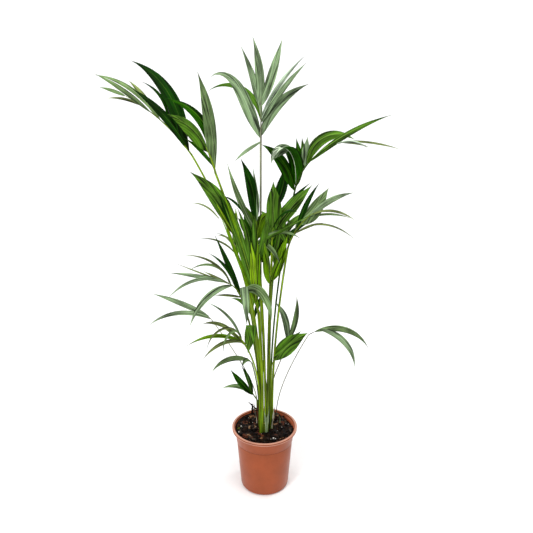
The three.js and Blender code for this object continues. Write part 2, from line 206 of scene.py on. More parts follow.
camera = {"lens": 42.62, "place": (0.0062, -1.762, 1.377), "tilt": 70.72}
studio = {
    "world": 0.3,
    "roll": {
        "half": 6, "front": -5, "back": 4, "height": 5, "bend": 2,
        "colour": "#FFFFFF", "roughness": 0.9, "ior": 1.5, "sheen": 0.5,
    },
    # power, size, place and what it is aimed at
    "lamps": {
        "topSoftbox": (74, 2.2, (0.3, -0.5, 3.3), (0, 0, 0.7)),
        "keySoftbox": (60, 1.1, (-1.6, -2.4, 2.3), (0, 0, 0.7)),
        "fillSoftbox": (9, 2, (2.4, -1.6, 1.6), (0, 0, 0.7)),
        "leftWallSoftbox": (42, 1.2, (-2.4, 1.3, 2.6), (0, 4, 1.6)),
        "rightWallSoftbox": (42, 1.2, (2.4, 1.3, 2.6), (0, 4, 1.6)),
    },
}


def setCamera():
    data = bpy.data.cameras.new("camera")
    data.lens = camera["lens"]
    data.sensor_width = 36
    eye = putInScene("camera", data)
    eye.location = camera["place"]
    eye.rotation_euler = (math.radians(camera["tilt"]), 0, 0)
    bpy.context.scene.camera = eye
    bpy.context.scene.view_settings.view_transform = "Standard"


def setFloor():
    # a white paper roll, pulled forward over the floor and up far behind the plant
    roll = studio["roll"]
    bm = bmesh.new()
    ends = [bm.verts.new((side * roll["half"], roll["front"], 0)) for side in (-1, 1)]
    edge = bm.edges.new(ends)
    for step in ((0, roll["back"] - roll["front"], 0), (0, 0, roll["height"])):
        row = bmesh.ops.extrude_edge_only(bm, edges=[edge])["geom"]
        ends = [v for v in row if isinstance(v, bmesh.types.BMVert)]
        bmesh.ops.translate(bm, verts=ends, vec=step)
        edge = next(e for e in row if isinstance(e, bmesh.types.BMEdge) and set(e.verts) == set(ends))
    corner = [e for e in bm.edges if all(abs(v.co.y - roll["back"]) + abs(v.co.z) < mm for v in e.verts)]
    bmesh.ops.bevel(bm, geom=corner, offset=roll["bend"], segments=24, profile=0.5, affect="EDGES",
                    material=-1)
    bmesh.ops.recalc_face_normals(bm, faces=bm.faces)
    for face in bm.faces:
        face.smooth = True
        if face.normal.z < 0 or face.normal.y > 0.5:
            face.normal_flip()
    paper = putInScene("paperRoll", meshFrom("paperRoll", bm))
    # matt white background paper: no gloss
    matt, _, shader = startMaterial("backgroundPaper", roll["roughness"], roll)
    shader.inputs["Base Color"].default_value = linear(roll["colour"])
    paper.data.materials.append(matt)


def setLights():
    world = bpy.data.worlds.new("studio")
    world.use_nodes = True
    air = world.node_tree.nodes["Background"]
    air.inputs["Color"].default_value = (1, 1, 1, 1)
    air.inputs["Strength"].default_value = studio["world"]
    bpy.context.scene.world = world
    for name, (power, size, place, target) in studio["lamps"].items():
        lamp = bpy.data.lights.new(name, "AREA")
        lamp.energy = power
        lamp.size = size
        light = putInScene(name, lamp)
        light.location = place
        light.rotation_euler = (Vector(target) - Vector(place)).to_track_quat("-Z", "Y").to_euler()


setCamera()
setFloor()
setLights()
print("studio set")


# the palm's plan: shoots, and the fronds that stand on them, in millimetres and degrees.
# headings are compass angles in plan: 0 is +X, 90 is +Y, 180 is -X, 270 is -Y

shoots = {
    "left": {"foot": (-18, 20), "height": 82, "radii": (8, 9.5)},
    "back": {"foot": (13, 26), "height": 98, "radii": (8, 9.5)},
    "right": {"foot": (20, -9), "height": 74, "radii": (6, 8)},
    "middle": {"foot": (6.5, -31), "height": 62, "radii": (5.5, 7.5)},
    "front": {"foot": (-11, -29), "height": 88, "radii": (6.5, 9.5)},
    "seedling": {"foot": (38, 41), "height": 22, "radii": (3, 2.4)},
}

# a seat is a shoot and the heading of the stalk on it, and a rib is (heading, climb, droop, length).
# A leaflet is (place along the rib, heading, climb, droop, length, width, roll, lateness of the droop),
# and the tones give one letter to each leaflet. A frond without a lean or a stalk colour has the plan's
fronds = {}
fronds["left_high"] = {
    "seat": ("left", 40), "crown": (-216, 120, 1070), "lean": 0.58,
    "petiole": (3.2, 2.2), "rib": (163, 53, 30, 280), "tones": "ddddddsnsns",
    "leaflets": [
        (0.04, 218, 87, 34, 130, 20, 60),
        (0.06, 172, 64, 34, 250, 24, 60),
        (0.1, 165, 84, 66, 312, 38, 60, 1.4),
        (0.16, 138, 90, 54, 226, 24, 50),
        (0.3, 105, 60, 70, 180, 18, 40),
        (0.38, 192, 104, 84, 164, 13, 50),
        (0.5, 152, 52, 50, 280, 14, 55),
        (0.56, 132, 45, 22, 176, 16, 60),
        (0.64, 202, 46, 20, 190, 16, 60),
        (0.76, 212, 33, 40, 108, 11, 50),
        (0.97, 168, 26, 20, 84, 12, 50),
    ],
}
fronds["left_upright"] = {
    "seat": ("left", 290), "crown": (-139, 30, 1032), "lean": 0.55,
    "petiole": (3.4, 2.6), "rib": (200, 78, 20, 110), "tones": "slslmmo",
    "leaflets": [
        (0.08, 206, 92, 22, 277, 40, 70),
        (0.2, 205, 60, 30, 120, 14, 60),
        (0.3, 100, 55, 70, 150, 18, 40),
        (0.36, 190, 101, 92, 234, 28, 60),
        (0.55, 205, 74, 30, 110, 11, 60),
        (0.6, 212, 66, 46, 166, 42, 65),
        (0.97, 165, 44, 12, 52, 12, 60),
    ],
}
fronds["top_fan"] = {
    "seat": ("left", 345), "crown": (-10, 20, 1122),
    "petiole": (2.4, 2.2), "rib": (0, 89, -2, 122), "stalk": "grey", "tones": "gggmgpggg",
    "leaflets": [
        (0.02, 200, -20, 28, 94, 15, 20),
        (0.1, 186, 68, 120, 242, 31, 80, 5),
        (0.14, -10, 75, 56, 202, 26, 80),
        (0.5, 160, 87, 124, 214, 17, 60),
        (0.45, -28, 59, 19, 211, 17, 80),
        (0.5, 24, 65, 27, 218, 13, 80),
        (0.5, 150, 83, 22, 207, 20, 80),
        (0.84, 195, 95, 24, 180, 25, 80),
        (0.8, -8, 69, -5, 186, 24, 80),
    ],
}
fronds["right_high"] = {
    "seat": ("back", 5), "crown": (85, 20, 973),
    "petiole": (2.8, 2.1), "rib": (-22, 81, 70, 240), "stalk": "dark", "tones": "lflmsgmmpnn",
    "leaflets": [
        (0.05, 205, 81, 56, 180, 40, 65),
        (0.1, 235, 90, 162, 220, 44, 175, 1.75),
        (0.27, 140, 84, 10, 102, 18, 60),
        (0.32, 110, 87, 10, 92, 22, 60),
        (0.34, 85, 50, 60, 150, 18, 40),
        (0.38, 60, 90, 10, 82, 24, 50),
        (0.42, -2, 92, 128, 180, 30, 60),
        (0.46, -22, 45, 27, 262, 19, 55),
        (0.84, -56, 24, 44, 130, 9, 40),
        (0.9, 6, 4, 30, 84, 9, 40),
        (0.97, -14, 3, 20, 146, 8, 40),
    ],
}
fronds["back_blade"] = {
    "seat": ("back", 62), "crown": (28, 80, 905),
    "petiole": (2.4, 1.8), "rib": (60, 84, 6, 26), "tones": "dd",
    "leaflets": [
        (0.3, 30, 58, -30, 145, 34, 80),
        (0.9, 80, 20, 50, 145, 22, 30),
    ],
}
fronds["centre_blade"] = {
    "seat": ("right", 190), "crown": (22, -40, 872),
    "petiole": (2.6, 2), "rib": (0, 84, 4, 24), "tones": "mmdd",
    "leaflets": [
        (0.3, 150, 93, 4, 145, 42, 80),
        (0.5, 10, 52, 8, 168, 35, 75),
        (0.8, 28, 56, 24, 170, 16, 60),
        (0.9, 300, 60, 60, 150, 16, 40),
    ],
}
fronds["centre_tall"] = {
    "seat": ("middle", 205), "crown": (-21, -10, 834),
    "petiole": (2.8, 4), "rib": (180, 88, 0, 70), "tones": "ssmmoldmsmdg",
    "leaflets": [
        (0.04, 308, 20, 80, 125, 14, 45),
        (0.1, 312, 37, 54, 190, 15, 45, 1.5),
        (0.06, 305, 27, -4, 280, 11, 60),
        (0.15, 190, 92, 60, 82, 28, 82, 4),
        (0.2, 345, 80, 60, 92, 30, 82, 4),
        (0.18, 170, 48, 0, 84, 30, 75),
        (0.28, 185, -46, 34, 64, 16, 80),
        (0.3, 165, 68, 5, 110, 26, 75),
        (0.46, 172, 60, -15, 218, 17, 60),
        (0.72, 150, 78, 66, 100, 7, 40),
        (0.9, 190, 92, 30, 194, 31, 75),
        (0.97, 110, 88, 14, 152, 20, 70),
    ],
}
fronds["left_spear"] = {
    "seat": ("front", 60), "crown": (-76, -30, 842),
    "petiole": (3.2, 3), "rib": (175, 72, 0, 42), "tones": "bdbm",
    "leaflets": [
        (0.2, 230, 94, 11, 95, 26, 75),
        (0.3, 180, 71, 0, 138, 18, 75),
        (0.6, 192, 58, -7, 108, 14, 60),
        (0.9, 172, 75, 42, 212, 42, 70),
    ],
}
fronds["bright_spear"] = {
    "seat": ("front", 330), "crown": (-17, -62, 640),
    "petiole": (4, 3.4), "rib": (174, 76, 0, 34), "tones": "omombo",
    "leaflets": [
        (0.2, 172, 80, 11, 362, 24, 75),
        (0.5, 178, 77, 7, 334, 14, 70),
        (0.4, 184, 72, 4, 300, 12, 60),
        (0.75, 170, 83, 14, 320, 14, 75),
        (0.9, 176, 88, 4, 185, 22, 70),
        (0.97, 0, 86, -4, 186, 20, 70),
    ],
}
fronds["right_spray"] = {
    "seat": ("right", 350), "crown": (66, -70, 840), "lean": 0.44,
    "petiole": (3, 2.2), "rib": (-35, 72, 35, 140), "tones": "mnnsdssgn",
    "leaflets": [
        (0.1, 165, 66, 10, 62, 24, 60),
        (0.3, -45, 47, 75, 232, 7, 40),
        (0.36, -30, 39, 26, 98, 10, 40),
        (0.4, 60, 45, 60, 160, 18, 40),
        (0.48, -5, 78, 24, 144, 16, 60),
        (0.62, -20, 49, -12, 132, 40, 65),
        (0.84, -5, 22, 43, 118, 8, 40),
        (0.9, -30, 50, 36, 150, 18, 60),
        (0.97, -45, 31, 54, 150, 9, 40),
    ],
}
fronds["centre_fork"] = {
    "seat": ("middle", 330), "crown": (17, -60, 724),
    "petiole": (3.4, 2.6), "rib": (300, 86, 6, 20), "stalk": "olive", "tones": "ooo",
    "leaflets": [
        (0.2, 215, 84, 6, 130, 32, 70),
        (0.9, 318, 66, 0, 116, 24, 70),
        (0.6, 332, 70, 0, 156, 34, 70),
    ],
}
fronds["left_thin"] = {
    "seat": ("left", 100), "crown": (-75, 75, 750),
    "petiole": (2.2, 1.6), "rib": (175, 66, 10, 36), "stalk": "olive", "tones": "nnmm",
    "leaflets": [
        (0.8, 180, 56, 64, 125, 7, 40),
        (0.9, 160, 88, 90, 92, 7, 40),
        (0.5, 100, 60, 90, 160, 14, 40),
        (0.97, 95, 50, 70, 180, 14, 40),
    ],
}
fronds["left_middle"] = {
    "seat": ("front", 135), "crown": (-65, -60, 680), "lean": 0.55,
    "petiole": (2.8, 2.2), "rib": (200, 77, 62, 94), "stalk": "olive", "tones": "dnsgdgnsnngg",
    "leaflets": [
        (0.04, 180, 72, 6, 206, 16, 75),
        (0.08, 190, 17, 18, 80, 8, 50),
        (0.12, 310, 68, 166, 204, 26, 50),
        (0.2, 290, 38, 160, 122, 9, 50),
        (0.38, 205, 79, 46, 153, 12, 60),
        (0.6, 225, 14, 81, 194, 17, 50),
        (0.62, 200, 73, 69, 180, 9, 45),
        (0.7, 198, 86, 122, 154, 9, 50),
        (0.73, 185, 31, 4, 82, 9, 40),
        (0.78, 180, 22, 0, 153, 6, 30),
        (0.86, 198, 22, 12, 166, 12, 60),
        (0.97, 212, 32, 75, 180, 10, 50),
    ],
}
fronds["left_low"] = {
    "seat": ("front", 245), "crown": (-55, -60, 529), "lean": 0.6,
    "petiole": (2.6, 2), "rib": (212, 64, 20, 72), "tones": "nonsgnmn",
    "leaflets": [
        (0.05, 190, 56, 28, 132, 11, 50),
        (0.12, 206, 47, 73, 198, 13, 45),
        (0.2, 220, 38, 80, 162, 12, 45),
        (0.38, 232, 94, 197, 142, 8, 40),
        (0.42, 196, 78, 50, 168, 10, 50),
        (0.46, 215, 82, 163, 166, 8, 40),
        (0.06, 285, 92, 182, 186, 8, 0, 1.4),
        (0.97, 150, 30, 60, 120, 12, 40),
    ],
}
fronds["left_lowest"] = {
    "seat": ("front", 190), "crown": (-38, -44, 463),
    "petiole": (1.8, 1.5), "rib": (200, 60, 10, 20), "stalk": "olive", "tones": "ss",
    "leaflets": [
        (0.5, 195, 39, 98, 138, 16, 45),
        (0.6, 235, 64, 138, 50, 12, 50),
    ],
}
fronds["left_foot"] = {
    "seat": ("left", 225), "crown": (-33, 22, 310),
    "petiole": (1.8, 1.6), "rib": (190, 70, 0, 18), "stalk": "olive", "tones": "lslm",
    "leaflets": [
        (0.3, 200, 49, -10, 130, 22, 60),
        (0.4, 180, 52, 80, 112, 15, 50),
        (0.6, 172, 82, 26, 104, 15, 50),
        (0.97, 235, 72, 4, 90, 19, 60),
    ],
}
fronds["left_seedling"] = {
    "seat": ("left", 165), "crown": (-166, 80, 549), "lean": 0.3,
    "petiole": (1.5, 1.1), "rib": (160, 45, 0, 24), "stalk": "grey", "tones": "gg",
    "leaflets": [
        (0.4, 178, 28, 72, 217, 15, 50),
        (0.8, 158, 20, 14, 212, 17, 60),
    ],
}
fronds["right_seedling"] = {
    "seat": ("seedling", 0), "crown": (142, 90, 495), "lean": 0.4,
    "petiole": (1.4, 1.1), "rib": (20, 19, 4, 42), "stalk": "grey", "tones": "sg",
    "leaflets": [
        (0.6, 18, 14, 78, 234, 20, 50),
        (0.97, 336, 6, 96, 186, 19, 60),
    ],
}
fronds["right_low_pair"] = {
    "seat": ("back", 310), "crown": (74, 45, 481), "lean": 0.35,
    "petiole": (1.6, 1.2), "rib": (0, 86, 0, 16), "stalk": "grey", "tones": "gs",
    "leaflets": [
        (0.4, 200, 97, 48, 160, 24, 70),
        (0.9, 20, 62, -36, 154, 17, 70),
    ],
}
fronds["right_low_blade"] = {
    "seat": ("right", 265), "crown": (22, -26, 448),
    "petiole": (2.2, 1.8), "rib": (0, 60, 0, 34), "tones": "mm",
    "leaflets": [
        (0.5, 350, 60, 30, 146, 46, 75),
        (0.9, 8, 62, 30, 116, 16, 70),
    ],
}
fronds["back_middle"] = {
    "seat": ("back", 115), "crown": (30, 105, 725),
    "petiole": (2.6, 2), "rib": (80, 74, 40, 90), "stalk": "dark", "tones": "mdmmmdm",
    "leaflets": [
        (0.08, 120, 75, 70, 190, 20, 40),
        (0.12, 30, 75, 70, 190, 20, 40),
        (0.3, 40, 80, 20, 150, 32, 60),
        (0.5, 105, 60, 70, 220, 22, 30),
        (0.54, 50, 60, 70, 220, 22, 30),
        (0.9, 90, 45, 70, 220, 20, 30),
        (0.97, 70, 30, 60, 180, 14, 20),
    ],
}
fronds["back_low"] = {
    "seat": ("back", 175), "crown": (-30, 95, 520), "lean": 0.35,
    "petiole": (2.4, 1.8), "rib": (100, 65, 40, 70), "stalk": "olive", "tones": "mdmm",
    "leaflets": [
        (0.3, 130, 60, 90, 150, 14, 30),
        (0.4, 70, 60, 90, 150, 14, 30),
        (0.9, 115, 40, 80, 170, 15, 30),
        (0.97, 85, 45, 80, 180, 15, 30),
    ],
}

# small leaflets that crowd the middle of the clump, fine ones that cross it, and folded ones that hang:
# root and tone, then the numbers as above from the heading on, and the share hidden behind a fold
innerLeaflets = [
    ((-13, -45, 802), "m", 350, 77, -7, 118, 25, 75, 1.2),
    ((-31, -40, 796), "d", 200, 71, -23, 63, 15, 75, 1.2),
    ((-22, -48, 796), "m", 190, 84, -10, 137, 17, 75, 1.1),
    ((-37, -25, 850), "l", 190, 71, -5, 75, 18, 75, 1.3),
    ((-23, -50, 720), "m", 185, 77, 5, 144, 15, 75, 1.1),
    ((-15, -40, 788), "o", 345, 77, 3, 83, 16, 75, 1.3),
    ((-7, -30, 785), "l", 350, 60, -6, 91, 20, 75, 1.1),
    ((-38, -55, 794), "m", 190, 86, 19, 167, 15, 75, 1.1),
    ((-128, -40, 919), "n", 200, 56, 56, 97, 6, 50, 1.4),
    ((-105, -25, 976), "d", 320, -10, 49, 82, 7, 40, 1.1),
    ((-80, -60, 843), "n", 200, 61, 58, 70, 6, 50, 1.2),
    ((74, -8, 1112), "g", 200, 12, 88, 78, 28, 60),
    ((-37, -88, 610), "m", 262, -51, -33, 92, 30, 10, 1.4, 0.35),
    ((-57, -92, 731), "g", 280, -44, 62, 114, 23, 10, 1.4, 0.35),
]

# lean is the share of its height at which a petiole bends towards its crown
plan = {"soilTop": 210, "buried": 5, "clearance": 0.3, "lean": 0.5, "stalk": "bright", "arcSteps": 24}


class Arc:
    # a curve that leaves its base at a climb angle and turns towards the ground by its droop
    def __init__(self, base, heading, climb, droop, length, lateness=1):
        self.base = base.copy()
        self.outward = around(math.radians(heading))
        self.side = up.cross(self.outward)
        self.climb, self.droop, self.lateness = climb, droop, lateness
        self.length = length * mm

    def tangent(self, t):
        climb = math.radians(self.climb - self.droop * t ** self.lateness)
        return self.outward * math.cos(climb) + up * math.sin(climb)

    def point(self, t):
        point = self.base.copy()
        step = t / plan["arcSteps"]
        for i in range(plan["arcSteps"]):
            point += self.tangent((i + 0.5) * step) * step * self.length
        return point


def shootTop(shoot):
    return Vector((*shoot["foot"], plan["soilTop"] + plan["clearance"] + shoot["height"])) * mm


def stalkCurve(frond):
    # foot, knee and tip of the petiole
    name, turn = frond["seat"]
    offset = shoots[name]["radii"][1] - frond["petiole"][0] - plan["clearance"]
    seat = around(math.radians(turn)) * offset + up * plan["clearance"]
    foot = shootTop(shoots[name]) + seat * mm
    tip = Vector(frond["crown"]) * mm
    knee = Vector((foot.x, foot.y, lerp(foot.z, tip.z, frond.get("lean", plan["lean"]))))
    return foot, knee, tip


def bezier(foot, knee, tip, t):
    # point and direction
    before, after = foot.lerp(knee, t), knee.lerp(tip, t)
    return before.lerp(after, t), (after - before).normalized()


def ribOf(frond):
    _, knee, tip = stalkCurve(frond)
    direction = (tip - knee).normalized()
    rib = Arc(tip, *frond["rib"])
    bend = rib.tangent(0).angle(direction)
    rib.base += direction * (plan["clearance"] + frond["petiole"][1] * math.sin(bend)) * mm
    return rib, tip


# leaflets: long folded blades, each a thin closed skin with a pale midrib let into its upper face

# Each leaflet gets one of these tones. They are partly the palm's own greens, dark on the upper face and
# paler beneath, and partly painted light: the pale and grey tones are painted sheen where a glossy upper
# face takes the light, the bright yellow-green ones are painted light shining through a blade, and the
# darkest ones hold painted shade as well as the leaf's own dark green.
leafTones = {  # upper face, underside
    "d": ("darkLeaf", "#0D2C03", "#2B4712"),
    "l": ("livelyLeaf", "#194101", "#3A5A12"),
    "m": ("middleLeaf", "#3E5F19", "#546C2F"),
    "o": ("oliveLeaf", "#51740A", "#758E2C"),
    "b": ("brightLeaf", "#6C8C14", "#859C3D"),
    "s": ("sageLeaf", "#586D44", "#72825C"),
    "n": ("greyGreenLeaf", "#5C683A", "#757D55"),
    "g": ("greyLeaf", "#657858", "#7E8F72"),
    "p": ("paleLeaf", "#8E9E88", "#A8B4A0"),
    # painted sheen: the folded leaf's very pale second colour stands for the glossy face of its
    # fold-over catching the light
    "f": ("foldedLeaf", "#194501", "#9AA890"),
}
leaflet = {
    "rootWidth": 3.2, "tipWidth": 0.5, "skin": 0.5, "rows": 18, "shortRows": 11, "shortLength": 100,
    # the widest place along the blade, and how full the outline is before and beyond it
    "widest": 0.38, "rootFullness": 0.75, "tipFullness": (0.7, 1.3),
    # the broadest leaflets are this much fuller than their packed outline
    "broad": 1.1, "broadWidth": 30,
    # how far out each column of a half blade stands, and how high it arches, by the half width
    "columns": (0, 0.05, 0.58, 1), "arches": (0, 0, 0.1, 0),
    # degrees: how steeply both halves fold down, and the most that a blade twists about its still place
    "fold": 28, "foldAtTip": 8, "twist": 16, "stillPlace": 0.35,
    "roughness": (0.5, 0.7), "ior": 1.4, "sheen": 0.04, "bump": 0.4, "relief": 0.15,
    # streaks are so many mm apart, so many times longer, and so rough
    "streaks": (3.2, 70, 0.65), "patch": 60, "patchShare": 0.3, "patternShift": 3,
    "shades": [(0.53, 0.35), (0.65, 1), (0.77, 1.4)],
}


def leafMaterial(name, code, roughness):
    # living palm leaf: parallel veins show as fine lengthwise streaks under a thin waxy sheen. They are
    # 0.3 mm apart on the real leaf, too fine to show, so the 3 mm bands that they bunch into are drawn
    material, tree, shader = startMaterial(name, roughness, leaflet)
    run, veins = addStreaks(tree, leaflet)
    # older and dustier patches
    patches = addNode(tree, "ShaderNodeTexNoise", {"Scale": 1 / (leaflet["patch"] * mm), "Detail": 2},
                      {"Vector": run.outputs["UV"]})
    both = addNode(tree, "ShaderNodeMath", {"operation": "MULTIPLY_ADD", 1: leaflet["patchShare"]},
                   {0: patches.outputs["Fac"], 2: veins.outputs["Fac"]})
    dressShader(tree, shader, code, leaflet, both.outputs[0], veins.outputs["Fac"])
    return material


def addLeaflet(bm, root, row, tone):
    heading, climb, droop, length, width, roll = row[1:7]
    width *= lerp(1, leaflet["broad"], min(1, width / leaflet["broadWidth"]))
    hidden = row[8] if len(row) > 8 else 0
    arc = Arc(root, heading, climb, droop, length, *row[7:8])
    arc.base -= arc.tangent(0) * mm
    turn = math.radians(-roll if arc.outward.x < 0 else roll)
    twist = math.radians(dice.uniform(-1, 1) * leaflet["twist"])
    shift = dice.uniform(0, leaflet["patternShift"])
    rows = leaflet["rows"] if length > leaflet["shortLength"] else leaflet["shortRows"]
    frames = []
    for t in shares(rows):
        grown = lerp(hidden, 1, t)
        if grown < leaflet["widest"]:
            swell = math.sin(grown / leaflet["widest"] * math.pi / 2) ** leaflet["rootFullness"]
        else:
            # full at first, then drawn out to a fine tip
            beyond = (grown - leaflet["widest"]) / (1 - leaflet["widest"])
            swell = max(math.cos(beyond * math.pi / 2), 0) ** lerp(*leaflet["tipFullness"], beyond)
        narrow = lerp(leaflet["rootWidth"], leaflet["tipWidth"], t)
        half = (narrow + (width - narrow) * swell) / 2 * mm
        tangent = arc.tangent(t)
        across = Quaternion(tangent, turn + twist * (t - leaflet["stillPlace"])) @ arc.side
        frames.append((arc.point(t), across, tangent.cross(across), half))

    def place(u, t):
        # columns at -1, -2/3, -1/3, 0 and so on close up round the midrib
        point, across, lift, half = frames[round(t * rows)]
        column = abs(round(u * 3))
        reach = leaflet["columns"][column] * half
        fold = math.radians(lerp(leaflet["fold"], leaflet["foldAtTip"], t))
        arch = leaflet["arches"][column] * half
        side = -1 if u > 0 else 1
        return point + across * side * reach + lift * (arch - reach * math.tan(fold))

    def uvAt(u, t):
        return u * frames[round(t * rows)][3] + shift, t * length * mm + shift

    upper = 2 * list(leafTones).index(tone)
    grid, faces = placeGrid(bm, 6, rows, place, uvAt, lambda u: upper + 1 if abs(u) < 1 / 3 else upper)
    for face in thicken(bm, grid, faces, leaflet["skin"] * mm):
        face.material_index = upper + 1


# one piece for each level of the crown keeps every piece small: the height that its crowns start above
levels = {"bladesHigh": 900, "bladesMiddle": 600, "bladesLow": 0}


def levelOf(place):
    return next(piece for piece, lowest in levels.items() if place[2] > lowest)


def makeBlades():
    # each tone has a material for the upper face and one for the underside
    materials = [leafMaterial(name + side, code, roughness) for name, *codes in leafTones.values()
                 for side, code, roughness in zip(("Upper", "Underside"), codes, leaflet["roughness"])]
    for piece in levels:
        bm = startShape()
        names = [name for name, frond in fronds.items() if levelOf(frond["crown"]) == piece]
        for name in names:
            rib = ribOf(fronds[name])[0]
            for row, tone in zip(fronds[name]["leaflets"], fronds[name]["tones"]):
                addLeaflet(bm, rib.point(row[0]), row, tone)
        for root, tone, *sizes in innerLeaflets:
            if levelOf(root) == piece:
                addLeaflet(bm, Vector(root) * mm, (0, *sizes), tone)
        finishPiece(piece, bm, materials, ["frond_" + name for name in names])


makeBlades()


# stalks: each petiole runs on from the soil through its shoot, up to the crown, and on as the rib

stalk = {
    "sides": 12, "footRows": 8, "rows": 26, "ribRows": 14, "ribTip": 0.7,
    # depths as shares of the radius, and half the channel's width in radians
    "channel": 0.22, "channelReach": 0.5, "ridge": 0.03, "ridges": 6,
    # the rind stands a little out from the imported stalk, most of all under the crown
    "footGirth": 1.1, "crownGirth": 1.35, "buriedGirth": 1.15, "buriedCurve": 0.6, "gathered": 0.75,
    "roughness": 0.42, "ior": 1.45, "sheen": 0.05, "bump": 0.5, "relief": 0.2,
    "streaks": (2.2, 60, 0.6), "aged": 250, "ageing": 0.05,
    "shades": [(0.38, 0.3), (0.5, 1), (0.62, 1.4)],
    "colours": {"bright": "#6E8818", "olive": "#4C5F14", "dark": "#3A5A14", "grey": "#83866C"},
}


def stalkMaterial(name, code, roughness):
    # palm leaf stalk: smooth green rind with fine lengthwise fibre lines and a satin face
    material, tree, shader = startMaterial(name, roughness, stalk)
    run, fibres = addStreaks(tree, stalk)
    # the lowest stretch is older and darker
    along = addNode(tree, "ShaderNodeSeparateXYZ", {}, {"Vector": run.outputs["UV"]})
    age = addNode(tree, "ShaderNodeMapRange",
                  {"From Max": stalk["aged"] * mm, "To Min": -stalk["ageing"], "To Max": 0},
                  {"Value": along.outputs["Y"]})
    both = addNode(tree, "ShaderNodeMath", {"operation": "ADD"},
                   {0: fibres.outputs["Fac"], 1: age.outputs["Result"]})
    dressShader(tree, shader, code, stalk, both.outputs[0], fibres.outputs["Fac"])
    return material


def addStalk(bm, rings, outward, material):
    # rings are (point, tangent, radius); the channel runs along the face turned to the plant's middle
    reach = [0]
    for before, after in zip(rings, rings[1:]):
        reach.append(reach[-1] + (after[0] - before[0]).length)
    last = len(rings) - 1

    def place(u, t):
        point, tangent, radius = rings[round(t * last)]
        inner = (tangent * outward.dot(tangent) - outward).normalized()
        side = tangent.cross(inner)
        angle = math.pi * u
        channel = stalk["channel"] * math.exp(-(angle / stalk["channelReach"]) ** 2)
        grooved = 1 - channel + stalk["ridge"] * math.cos(angle * stalk["ridges"])
        return point + (inner * math.cos(angle) + side * math.sin(angle)) * radius * grooved

    def uvAt(u, t):
        return u * math.pi * rings[round(t * last)][2], reach[round(t * last)]

    grid, faces = placeGrid(bm, stalk["sides"], last, place, uvAt, material)
    closeTube(bm, grid, faces)


def stalkRadii(frond):
    atFoot, atCrown = frond["petiole"]
    return atFoot * stalk["footGirth"] * mm, atCrown * stalk["crownGirth"] * mm


def stalkRings(frond):
    foot, knee, tip = stalkCurve(frond)
    atFoot, atCrown = stalkRadii(frond)
    # inside the shoot the stalks gather towards its middle, down to below the soil's face
    middle = shoots[frond["seat"][0]]["foot"]
    x, y = [lerp(c * mm, at, stalk["gathered"]) for c, at in zip(middle, foot)]
    buried = Vector((x, y, (plan["soilTop"] - plan["buried"]) * mm))
    rings = []
    for t in shares(stalk["footRows"])[:-1]:
        swell = lerp(stalk["buriedGirth"], 1, t ** stalk["buriedCurve"])
        rings.append((buried.lerp(foot, t), up, atFoot * swell))
    for t in shares(stalk["rows"]):
        point, tangent = bezier(foot, knee, tip, t)
        rings.append((point, tangent, lerp(atFoot, atCrown, t)))
    return rings


def ribRings(frond):
    rib, tip = ribOf(frond)
    atCrown = stalkRadii(frond)[1]
    rings = [(tip - rib.tangent(0) * mm, rib.tangent(0), atCrown)]
    for t in shares(stalk["ribRows"]):
        rings.append((rib.point(t), rib.tangent(t), lerp(atCrown, stalk["ribTip"] * mm, t)))
    return rings


def makeStalks():
    materials = [stalkMaterial(name + "Stalk", code, stalk["roughness"])
                 for name, code in stalk["colours"].items()]
    petioles, ribs = startShape(), startShape()
    for frond in fronds.values():
        foot, _, tip = stalkCurve(frond)
        outward = ((tip - foot) * Vector((1, 1, 0))).normalized()
        colour = list(stalk["colours"]).index(frond.get("stalk", plan["stalk"]))
        addStalk(petioles, stalkRings(frond), outward, colour)
        addStalk(ribs, ribRings(frond), ribOf(frond)[0].outward, colour)
    finishPiece("petioles", petioles, materials, ["petiole_" + name for name in fronds])
    finishPiece("ribs", ribs, materials, ["frond_" + name for name in fronds])


makeStalks()


# shoots: a core that the stalks stand round, wrapped in open sheaths, pale inside and fibrous when dry

